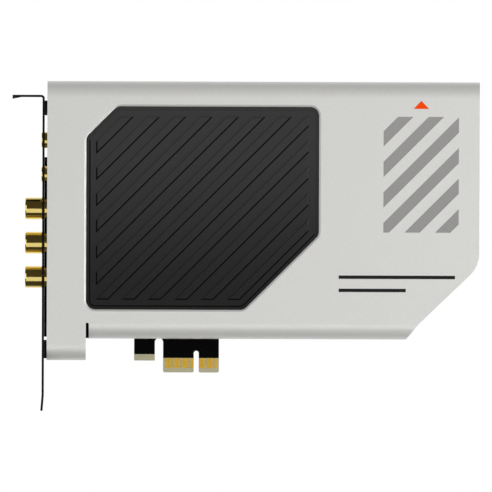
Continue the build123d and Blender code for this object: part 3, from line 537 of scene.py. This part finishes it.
class NodeShape:
    """A piece made by Geometry Nodes, whose tree has named inputs for its sizes."""

    KINDS = {float: "NodeSocketFloat", int: "NodeSocketInt", bpy.types.Material: "NodeSocketMaterial"}

    def __init__(self, name: str, sizes: dict[str, Any]) -> None:
        """Start a tree.

        Args:
            name: Name of the piece and of its tree.
            sizes: Inputs by name: lengths in metres, counts and materials.
        """
        self.name = name
        self.sizes = sizes
        self.tree = bpy.data.node_groups.new(name, "GeometryNodeTree")
        self.tree.interface.new_socket("Geometry", in_out="INPUT", socket_type="NodeSocketGeometry")
        self.tree.interface.new_socket("Geometry", in_out="OUTPUT", socket_type="NodeSocketGeometry")
        for label, value in sizes.items():
            kind = next(k for t, k in self.KINDS.items() if isinstance(value, t))
            self.tree.interface.new_socket(label, in_out="INPUT", socket_type=kind)
        self.given = add_node(self.tree, "NodeGroupInput").outputs

    def add(self, kind: str, inputs: dict[Any, Any] | None = None, **settings: Any) -> bpy.types.Node:
        """Add a node to this tree."""
        return add_node(self.tree, kind, inputs, **settings)

    def mesh(self, shape: bpy.types.NodeSocket, ink: str, start: bpy.types.Mesh) -> bpy.types.Mesh:
        """End the tree, run it and return a plain mesh.

        Args:
            shape: Geometry before it is realised.
            ink: Name of the input that holds the material.
            start: Mesh that the tree starts from.

        Returns:
            The finished mesh with its material.
        """
        real = self.add("GeometryNodeRealizeInstances", {"Geometry": shape})
        dressed = self.add("GeometryNodeSetMaterial", {
            "Geometry": real.outputs[0], "Material": self.given[ink]})
        self.add("NodeGroupOutput", {"Geometry": dressed.outputs[0]})
        holder = bpy.data.objects.new(self.name + "_holder", start)
        bpy.context.scene.collection.objects.link(holder)
        modifier = holder.modifiers.new("shape", "NODES")
        modifier.node_group = self.tree
        for item in self.tree.interface.items_tree:
            if item.in_out == "INPUT" and item.name in self.sizes:
                modifier[item.identifier] = self.sizes[item.name]
        made = applied(holder)
        made.name = self.name
        return made


def points_mesh(name: str, places: Sequence[Vector], chains: Sequence[int] = ()) -> bpy.types.Mesh:
    """Make a mesh of points, joined into lines where chains are given.

    Args:
        name: Mesh's name.
        places: Points in metres.
        chains: Number of points in each line, in order.

    Returns:
        The mesh of points and edges.
    """
    mesh = bpy.data.meshes.new(name)
    edges = []
    first = 0
    for count in chains:
        edges += [(i, i + 1) for i in range(first, first + count - 1)]
        first += count
    mesh.from_pydata(places, edges, [])
    return mesh


def plate_mesh(name: str, outlines: Sequence[Sequence[Point]], front: float, back: float,
               finish: Finish) -> bpy.types.Mesh:
    """Make thin plates that lie across Y, with closed sides.

    Args:
        name: Mesh's name.
        outlines: Corners in X and Z of each plate, in millimetres.
        front: Y of the front in millimetres.
        back: Y of the back in millimetres.
        finish: Finish of the plates.

    Returns:
        The mesh.
    """
    shape = bmesh.new()
    for outline in outlines:
        low = [shape.verts.new((x * MM, front * MM, z * MM)) for x, z in outline]
        high = [shape.verts.new((x * MM, back * MM, z * MM)) for x, z in outline]
        shape.faces.new(low)
        shape.faces.new(high)
        for i in range(len(outline)):
            j = (i + 1) % len(outline)
            shape.faces.new((low[i], low[j], high[j], high[i]))
    bmesh.ops.recalc_face_normals(shape, faces=shape.faces)
    mesh = bpy.data.meshes.new(name)
    shape.to_mesh(mesh)
    shape.free()
    mesh.materials.append(finish.material())
    return mesh


@dataclass
class ShroudPrint:
    """Ink on the shroud's face: a field of slanting stripes, a small triangle and two plain rules."""

    ink: float = 0.02
    sunk: float = 0.01
    from_end: float = 7.9
    from_top: float = 13.1
    field_width: float = 28.6
    field_height: float = 44.0
    stripe_count: int = 6
    stripe_width: float = 4.11
    stripe_step: float = 11.62
    stripe_length: float = 90.0
    first_stripe: float = -18.085
    triangle_width: float = 5.9
    triangle_height: float = 3.1
    triangle_rise: float = 3.0
    rule_height: float = 1.3
    rules: tuple[Triple, ...] = ((54.0, 98.2, 36.4), (54.0, 79.5, 31.4))

    def __post_init__(self) -> None:
        """Take the face and the field's place from the shroud."""
        low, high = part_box("shroud")
        self.face = low.y / MM
        self.right = high.x / MM - self.from_end
        self.top = high.z / MM - self.from_top

    def stripes(self) -> None:
        """Lay the slanting stripes, cut off at the sides of their field."""
        shape = NodeShape("printed_stripes", {
            "Stripe Count": self.stripe_count,
            "Stripe Width": self.stripe_width * MM,
            "Stripe Length": self.stripe_length * MM,
            "Stripe Step": self.stripe_step * MM,
            "Field Width": self.field_width * MM,
            "Field Height": self.field_height * MM,
            "Ink Depth": (self.ink + self.sunk) * MM,
            "Ink": GREY_INK.material(),
        })
        given = shape.given
        middle = (self.right - self.field_width / 2, self.face + (self.sunk - self.ink) / 2,
                  self.top - self.field_height / 2)
        start_x = self.first_stripe + middle[2]
        step = shape.add("ShaderNodeCombineXYZ", {"X": given["Stripe Step"]})
        row = shape.add("GeometryNodeMeshLine", {
            "Count": given["Stripe Count"], "Offset": step.outputs[0],
            "Start Location": (start_x * MM, middle[1] * MM, middle[2] * MM)})
        size = shape.add("ShaderNodeCombineXYZ", {
            "X": given["Stripe Length"], "Y": given["Ink Depth"], "Z": given["Stripe Width"]})
        bar = shape.add("GeometryNodeMeshCube", {"Size": size.outputs[0]})
        bars = shape.add("GeometryNodeInstanceOnPoints", {
            "Points": row.outputs[0], "Instance": bar.outputs[0], "Rotation": (0.0, -math.pi / 4, 0.0)})
        real = shape.add("GeometryNodeRealizeInstances", {"Geometry": bars.outputs[0]})
        deep = shape.add("ShaderNodeMath", {0: given["Ink Depth"], 1: 2.0}, operation="MULTIPLY")
        reach = shape.add("ShaderNodeCombineXYZ", {
            "X": given["Field Width"], "Y": deep.outputs[0], "Z": given["Field Height"]})
        block = shape.add("GeometryNodeMeshCube", {"Size": reach.outputs[0]})
        field = shape.add("GeometryNodeTransform", {
            "Geometry": block.outputs[0], "Translation": tuple(v * MM for v in middle)})
        cut = shape.add("GeometryNodeMeshBoolean", {"Mesh 2": real.outputs[0]},
                        operation="INTERSECT", solver="EXACT")
        shape.tree.links.new(field.outputs[0], cut.inputs["Mesh 2"])
        mesh = shape.mesh(cut.outputs["Mesh"], "Ink", points_mesh("stripe_start", []))
        add_piece("printed_stripes", mesh)

    def triangle(self) -> None:
        """Lay the small triangle above the stripes."""
        middle = self.right - self.field_width / 2
        base = self.top + self.triangle_rise
        outline = [(middle - self.triangle_width / 2, base), (middle + self.triangle_width / 2, base),
                   (middle, base + self.triangle_height)]
        mesh = plate_mesh("printed_triangle", [outline], self.face - self.ink, self.face + self.sunk,
                          ORANGE_INK)
        add_piece("printed_triangle", mesh)

    def plain_rules(self) -> None:
        """Lay two plain dark rules in the lower right of the face."""
        half = self.rule_height / 2
        outlines = [[(a, z - half), (b, z - half), (b, z + half), (a, z + half)] for a, b, z in self.rules]
        mesh = plate_mesh("printed_rules", outlines, self.face - self.ink, self.face + self.sunk, BLACK_INK)
        add_piece("printed_rules", mesh)

    def build(self) -> None:
        """Lay all the prints."""
        self.stripes()
        self.triangle()
        self.plain_rules()


@dataclass
class BoardBack:
    """What the board's back shows: solder joints, tinned rings round the screws, vias and tracks."""

    joint_radius: float = 0.95
    wire_radius: float = 0.35
    joint_height: float = 0.85
    ring_radius: float = 3.35
    ring_width: float = 0.9
    tin_depth: float = 0.06
    via_radius: float = 0.32
    track_width: float = 0.34
    track_depth: float = 0.06
    track_gap: float = 0.75
    joint_sides: int = 16
    ring_sides: int = 48
    via_sides: int = 12

    # Tracks as bundles: number of tracks and the corners of the first one, X and Z
    BUNDLES = (
        (6, ((-4.0, 8.0), (-4.0, 22.0), (6.0, 32.0), (6.0, 48.0))),
        (4, ((7.0, 8.0), (7.0, 18.0), (22.0, 33.0), (22.0, 52.0), (30.0, 60.0))),
        (5, ((-40.0, 46.0), (-28.0, 46.0), (-20.0, 54.0), (-6.0, 54.0))),
        (4, ((-40.0, 72.0), (-30.0, 72.0), (-22.0, 64.0), (-4.0, 64.0))),
        (5, ((12.0, 66.0), (12.0, 82.0), (24.0, 94.0), (56.0, 94.0), (70.0, 80.0), (84.0, 80.0))),
        (3, ((36.0, 40.0), (52.0, 40.0), (62.0, 50.0), (62.0, 72.0))),
        (3, ((44.0, 62.0), (52.0, 70.0), (52.0, 84.0))),
        (4, ((-46.0, 88.0), (-34.0, 88.0), (-24.0, 98.0), (6.0, 98.0))),
    )

    def __post_init__(self) -> None:
        """Take the back face from the board."""
        self.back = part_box("circuit_board")[1].y

    def pin_places(self) -> list[Vector]:
        """Work out where the pins of the sockets, relays, film capacitors and header come through.

        Returns:
            Points on the back face.
        """
        places = []
        for row in ("lower", "middle", "upper"):
            low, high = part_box(f"coax_{row}_body")
            places += self.pins_in(low, high, ((0.3, 0.5), (0.78, 0.22), (0.78, 0.78)))
        for row in ("line", "headphone"):
            low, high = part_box(f"{row}_jack_body")
            places += self.pins_in(low, high, ((0.25, 0.2), (0.25, 0.8), (0.5, 0.5), (0.8, 0.2), (0.8, 0.8)))
        for low, high in solid_boxes("mute_relays"):
            places += self.pins_in(low, high, [(x, z) for x in (0.14, 0.86) for z in (0.1, 0.36, 0.64, 0.9)])
        for low, high in solid_boxes("film_capacitors"):
            places += self.pins_in(low, high, ((0.15, 0.5), (0.85, 0.5)))
        header_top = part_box("front_panel_header")[0].y
        for low, high in solid_boxes("front_panel_header_pins"):
            places.append(Vector((low.x + low.y - header_top, self.back, (low.z + high.z) / 2)))
        return places

    def pins_in(self, low: Vector, high: Vector, shares: Sequence[Point]) -> list[Vector]:
        """Place pins at shares of a part's width and height.

        Args:
            low: Part's lowest corner.
            high: Part's highest corner.
            shares: Shares of its width and height, one pair for each pin.

        Returns:
            Points on the back face.
        """
        size = high - low
        return [Vector((low.x + size.x * a, self.back, low.z + size.z * b)) for a, b in shares]

    def joints(self) -> None:
        """Set a solder cone on each pin."""
        shape = NodeShape("solder_joints", {
            "Joint Radius": self.joint_radius * MM, "Wire Radius": self.wire_radius * MM,
            "Joint Height": self.joint_height * MM, "Solder": TIN.material()})
        given = shape.given
        cone = shape.add("GeometryNodeMeshCone", {
            "Vertices": self.joint_sides, "Side Segments": 1, "Radius Top": given["Wire Radius"],
            "Radius Bottom": given["Joint Radius"], "Depth": given["Joint Height"]})
        set_on = shape.add("GeometryNodeInstanceOnPoints", {
            "Points": given["Geometry"], "Instance": cone.outputs["Mesh"],
            "Rotation": (-math.pi / 2, 0.0, 0.0)})
        mesh = shape.mesh(set_on.outputs[0], "Solder", points_mesh("joint_places", self.pin_places()))
        add_piece("solder_joints", mesh)

    def rings(self) -> None:
        """Lay a tinned ring round each screw."""
        boxes = solid_boxes("shroud_screws")
        places = [Vector(((a.x + b.x) / 2, self.back, (a.z + b.z) / 2)) for a, b in boxes]
        shape = NodeShape("tinned_rings", {
            "Ring Radius": self.ring_radius * MM, "Ring Width": self.ring_width * MM,
            "Tin Depth": self.tin_depth * MM, "Tin": TIN.material()})
        given = shape.given
        circle = shape.add("GeometryNodeCurvePrimitiveCircle", {
            "Resolution": self.ring_sides, "Radius": given["Ring Radius"]})
        section = shape.add("GeometryNodeCurvePrimitiveQuadrilateral", {
            "Width": given["Ring Width"], "Height": given["Tin Depth"]})
        ring = shape.add("GeometryNodeCurveToMesh", {
            "Curve": circle.outputs["Curve"], "Profile Curve": section.outputs[0]})
        set_on = shape.add("GeometryNodeInstanceOnPoints", {
            "Points": given["Geometry"], "Instance": ring.outputs[0], "Rotation": (math.pi / 2, 0.0, 0.0)})
        mesh = shape.mesh(set_on.outputs[0], "Tin", points_mesh("ring_places", places))
        add_piece("tinned_rings", mesh)

    def track_lines(self) -> list[list[Vector]]:
        """Lay out each bundle's tracks side by side.

        Returns:
            One line of points for each track.
        """
        lines = []
        for count, corners in self.BUNDLES:
            for i in range(count):
                lines.append([Vector((x, z, 0.0)) * MM for x, z in beside(corners, i * self.track_gap)])
        return lines

    def tracks(self) -> None:
        """Draw the tracks and a via at both ends of each."""
        lines = self.track_lines()
        shape = NodeShape("board_tracks", {
            "Track Width": self.track_width * MM, "Track Depth": self.track_depth * MM,
            "Copper": MASKED_COPPER.material()})
        given = shape.given
        curve = shape.add("GeometryNodeMeshToCurve", {"Mesh": given["Geometry"]})
        upright = shape.add("GeometryNodeSetCurveNormal", {"Curve": curve.outputs[0]}, mode="Z_UP")
        section = shape.add("GeometryNodeCurvePrimitiveQuadrilateral", {
            "Width": given["Track Width"], "Height": given["Track Depth"]})
        drawn = shape.add("GeometryNodeCurveToMesh", {
            "Curve": upright.outputs[0], "Profile Curve": section.outputs[0], "Fill Caps": True})
        laid = shape.add("GeometryNodeTransform", {
            "Geometry": drawn.outputs[0], "Rotation": (math.pi / 2, 0.0, 0.0),
            "Translation": (0.0, self.back, 0.0)})
        start = points_mesh("track_lines", [p for line in lines for p in line], [len(line) for line in lines])
        add_piece("board_tracks", shape.mesh(laid.outputs[0], "Copper", start))
        ends = [Vector((p.x, self.back, p.y)) for line in lines for p in (line[0], line[-1])]
        self.vias(ends)

    def vias(self, places: Sequence[Vector]) -> None:
        """Set a tinned via at each place.

        Args:
            places: Points on the back face.
        """
        shape = NodeShape("tinned_vias", {
            "Via Radius": self.via_radius * MM, "Tin Depth": 2 * self.tin_depth * MM, "Tin": TIN.material()})
        given = shape.given
        disc = shape.add("GeometryNodeMeshCylinder", {
            "Vertices": self.via_sides, "Radius": given["Via Radius"], "Depth": given["Tin Depth"]})
        set_on = shape.add("GeometryNodeInstanceOnPoints", {
            "Points": given["Geometry"], "Instance": disc.outputs["Mesh"],
            "Rotation": (math.pi / 2, 0.0, 0.0)})
        mesh = shape.mesh(set_on.outputs[0], "Tin", points_mesh("via_places", places))
        add_piece("tinned_vias", mesh)

    def build(self) -> None:
        """Make everything on the back."""
        self.joints()
        self.rings()
        self.tracks()


def beside(corners: Sequence[Point], distance: float) -> list[Point]:
    """Shift a line of straight runs sideways.

    Args:
        corners: Corners of the line.
        distance: How far to the left of its direction.

    Returns:
        Corners of the line beside it.
    """
    turns = [math.atan2(b[1] - a[1], b[0] - a[0]) for a, b in zip(corners, corners[1:])]
    before = [turns[0], *turns]
    after = [*turns, turns[-1]]
    shifted = []
    for (x, z), first, second in zip(corners, before, after):
        middle = (first + second) / 2
        reach = distance / math.cos((second - first) / 2)
        shifted.append((x - reach * math.sin(middle), z + reach * math.cos(middle)))
    return shifted


@dataclass
class Card:
    """The whole card: smooth copies of its metal and moulded pieces, and finishes for every other node."""

    COPIES = (
        SmoothPiece("shroud", "folded_shroud", 0.28, 30.0, 3, 60.0),
        SmoothPiece("slot_bracket", "folded_bracket", 0.04, 32.0),
        SmoothPiece("inset_panel", "ribbed_panel", 0.0, own_faces=True),

        SmoothPiece("shroud_standoffs", "turned_standoffs", 0.1),
        SmoothPiece("shroud_screws", "shroud_fixing_screws", 0.08),
        SmoothPiece("bracket_screws", "bracket_fixing_screws", 0.08),
        SmoothPiece("electrolytic_capacitors", "drawn_capacitor_cans", 0.12),
        SmoothPiece("mute_relays", "moulded_relays", 0.25),
        SmoothPiece("film_capacitors", "moulded_film_capacitors", 0.25),
        SmoothPiece("front_panel_header", "moulded_header", 0.12),
    )

    def sockets(self) -> list[SmoothPiece]:
        """List the turned and moulded pieces of the five sockets."""
        pieces = []
        for row in ("lower", "middle", "upper"):
            for part in ("shell", "insulator", "contact", "body"):
                pieces.append(SmoothPiece(f"coax_{row}_{part}", f"{row}_coax_{part}", 0.1))
        for row in ("line", "headphone"):
            for part in ("bushing", "body"):
                pieces.append(SmoothPiece(f"{row}_jack_{part}", f"{row}_socket_{part}", 0.1))
        return pieces

    def dress_nodes(self) -> None:
        """Give every CAD node the finish of its slot."""
        for name, node in frame["nodes"].items():
            node.data.materials.clear()
            node.data.materials.append(FINISHES[slot_of(name)].material())

    def build(self) -> None:
        """Dress the nodes, then make the copies, the prints and the board's back."""
        self.dress_nodes()
        for piece in (*self.COPIES, *self.sockets()):
            piece.build()
        ShroudPrint().build()
        BoardBack().build()


@dataclass
class Softbox:
    """A flat soft lamp that looks at the card, placed by its angles round it."""

    name: str
    azimuth: float
    elevation: float
    distance: float
    width: float
    height: float
    watts: float

    def build(self, aim: Vector) -> None:
        """Hang the lamp.

        Args:
            aim: Point that it looks at, in metres.
        """
        turn, rise = math.radians(self.azimuth), math.radians(self.elevation)
        away = Vector((math.sin(turn) * math.cos(rise), -math.cos(turn) * math.cos(rise), math.sin(rise)))
        data = bpy.data.lights.new(self.name, "AREA")
        data.shape = "RECTANGLE"
        data.size = self.width
        data.size_y = self.height
        data.energy = self.watts
        lamp = bpy.data.objects.new(self.name, data)
        lamp.location = aim + away * self.distance
        lamp.rotation_euler = (-away).to_track_quat("-Z", "Y").to_euler()
        lamp.visible_camera = False
        bpy.context.scene.collection.objects.link(lamp)


@dataclass
class Studio:
    """White backdrop, pale floor, soft lamps and the camera straight in front."""

    view_x: float = 18.76
    view_z: float = 48.11
    view_width: float = 186.86
    roll: float = 0.2
    distance: float = 1.5
    floor_size: float = 1.6
    floor_colour: str = "#c8c8c8"
    floor_roughness: float = 0.8
    floor_glow: float = 0.4
    white_start: float = 0.1
    white_full: float = 0.95
    ambient: float = 0.48
    dim: str = "#3f3a2f"

    LAMPS = (
        Softbox("right softbox", 46.0, 6.0, 0.9, 0.7, 0.7, 4.9),
        Softbox("left softbox", -52.0, 6.0, 0.9, 0.5, 0.7, 3.45),
        Softbox("front softbox", 0.0, -24.0, 0.9, 0.8, 0.7, 1.35),
        Softbox("right edge lamp", 84.0, 0.0, 0.8, 0.3, 0.3, 1.7),
        Softbox("lower edge lamp", 82.0, -43.0, 0.8, 0.3, 0.3, 1.4),
    )

    def camera(self) -> None:
        """Stand the camera level and square to the card, turned as the picture is."""
        data = bpy.data.cameras.new("camera")
        data.type = "ORTHO"
        data.ortho_scale = self.view_width * MM
        camera = bpy.data.objects.new("camera", data)
        camera.location = (self.view_x * MM, -self.distance, self.view_z * MM)
        level = Matrix.Rotation(math.pi / 2, 4, "X")
        camera.rotation_euler = (level @ Matrix.Rotation(math.radians(self.roll), 4, "Z")).to_euler()
        bpy.context.scene.collection.objects.link(camera)
        bpy.context.scene.camera = camera

    def floor(self, height: float) -> None:
        """Lay the pale floor under the card.

        Args:
            height: Z of the floor, in metres.
        """
        half = self.floor_size / 2
        mesh = bpy.data.meshes.new("floor")
        corners = [(-half, -half, height), (half, -half, height), (half, half, height), (-half, half, height)]
        mesh.from_pydata(corners, [], [(0, 1, 2, 3)])
        material = bpy.data.materials.new("pale_floor")
        material.use_nodes = True
        tree = material.node_tree
        shader = tree.nodes["Principled BSDF"]
        shader.inputs["Base Color"].default_value = linear(self.floor_colour)
        shader.inputs["Roughness"].default_value = self.floor_roughness
        light = add_node(tree, "ShaderNodeLightPath")
        seen = add_node(tree, "ShaderNodeMath", {
            0: light.outputs["Is Camera Ray"], 1: self.floor_glow}, operation="MULTIPLY")
        shader.inputs["Emission Color"].default_value = (1.0, 1.0, 1.0, 1.0)
        tree.links.new(seen.outputs[0], shader.inputs["Emission Strength"])
        mesh.materials.append(material)
        floor = bpy.data.objects.new("floor", mesh)
        floor.visible_glossy = False
        floor.visible_shadow = False
        bpy.context.scene.collection.objects.link(floor)
        floor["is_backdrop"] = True

    def world(self) -> None:
        """Make the backdrop white, and the room behind the camera dim in reflections."""
        world = bpy.data.worlds.new("studio")
        world.use_nodes = True
        bpy.context.scene.world = world
        tree = world.node_tree
        tree.nodes.clear()
        light = add_node(tree, "ShaderNodeLightPath")
        way = add_node(tree, "ShaderNodeSeparateXYZ", {
            0: add_node(tree, "ShaderNodeTexCoord").outputs["Generated"]})
        behind = add_node(tree, "ShaderNodeMapRange", {
            "Value": way.outputs["Y"], "From Min": self.white_start, "From Max": self.white_full},
            interpolation_type="SMOOTHSTEP")
        white = add_node(tree, "ShaderNodeMath", {
            0: behind.outputs[0], 1: light.outputs["Is Camera Ray"]}, operation="MAXIMUM")
        shown = add_node(tree, "ShaderNodeMix", {
            0: white.outputs[0], 6: linear(self.dim), 7: linear("#ffffff")}, data_type="RGBA")
        backdrop = add_node(tree, "ShaderNodeBackground", {"Color": shown.outputs[2], "Strength": 1.0})
        room = add_node(tree, "ShaderNodeBackground", {
            "Color": (1.0, 1.0, 1.0, 1.0), "Strength": self.ambient})
        glossy = add_node(tree, "ShaderNodeMath", {
            0: light.outputs["Is Camera Ray"], 1: light.outputs["Is Glossy Ray"]}, operation="ADD")
        seen = add_node(tree, "ShaderNodeMath", {
            0: glossy.outputs[0], 1: light.outputs["Is Transmission Ray"]}, operation="ADD", use_clamp=True)
        mixed = add_node(tree, "ShaderNodeMixShader", {
            0: seen.outputs[0], 1: room.outputs[0], 2: backdrop.outputs[0]})
        add_node(tree, "ShaderNodeOutputWorld", {"Surface": mixed.outputs[0]})

    def build(self, low: Vector, high: Vector) -> None:
        """Set up the studio round the card.

        Args:
            low: Lowest corner of the card.
            high: Highest corner of the card.
        """
        self.camera()
        self.floor(low.z)
        self.world()
        aim = (low + high) / 2
        for lamp in self.LAMPS:
            lamp.build(aim)
        bpy.context.scene.view_settings.view_transform = "Standard"


def main() -> None:
    """Build the card and the studio round it."""
    logging.basicConfig(level=logging.INFO, format="%(name)s %(message)s")
    cad_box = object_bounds()
    Card().build()
    Studio().build(*cad_box)


if __name__ == "__main__":
    main()
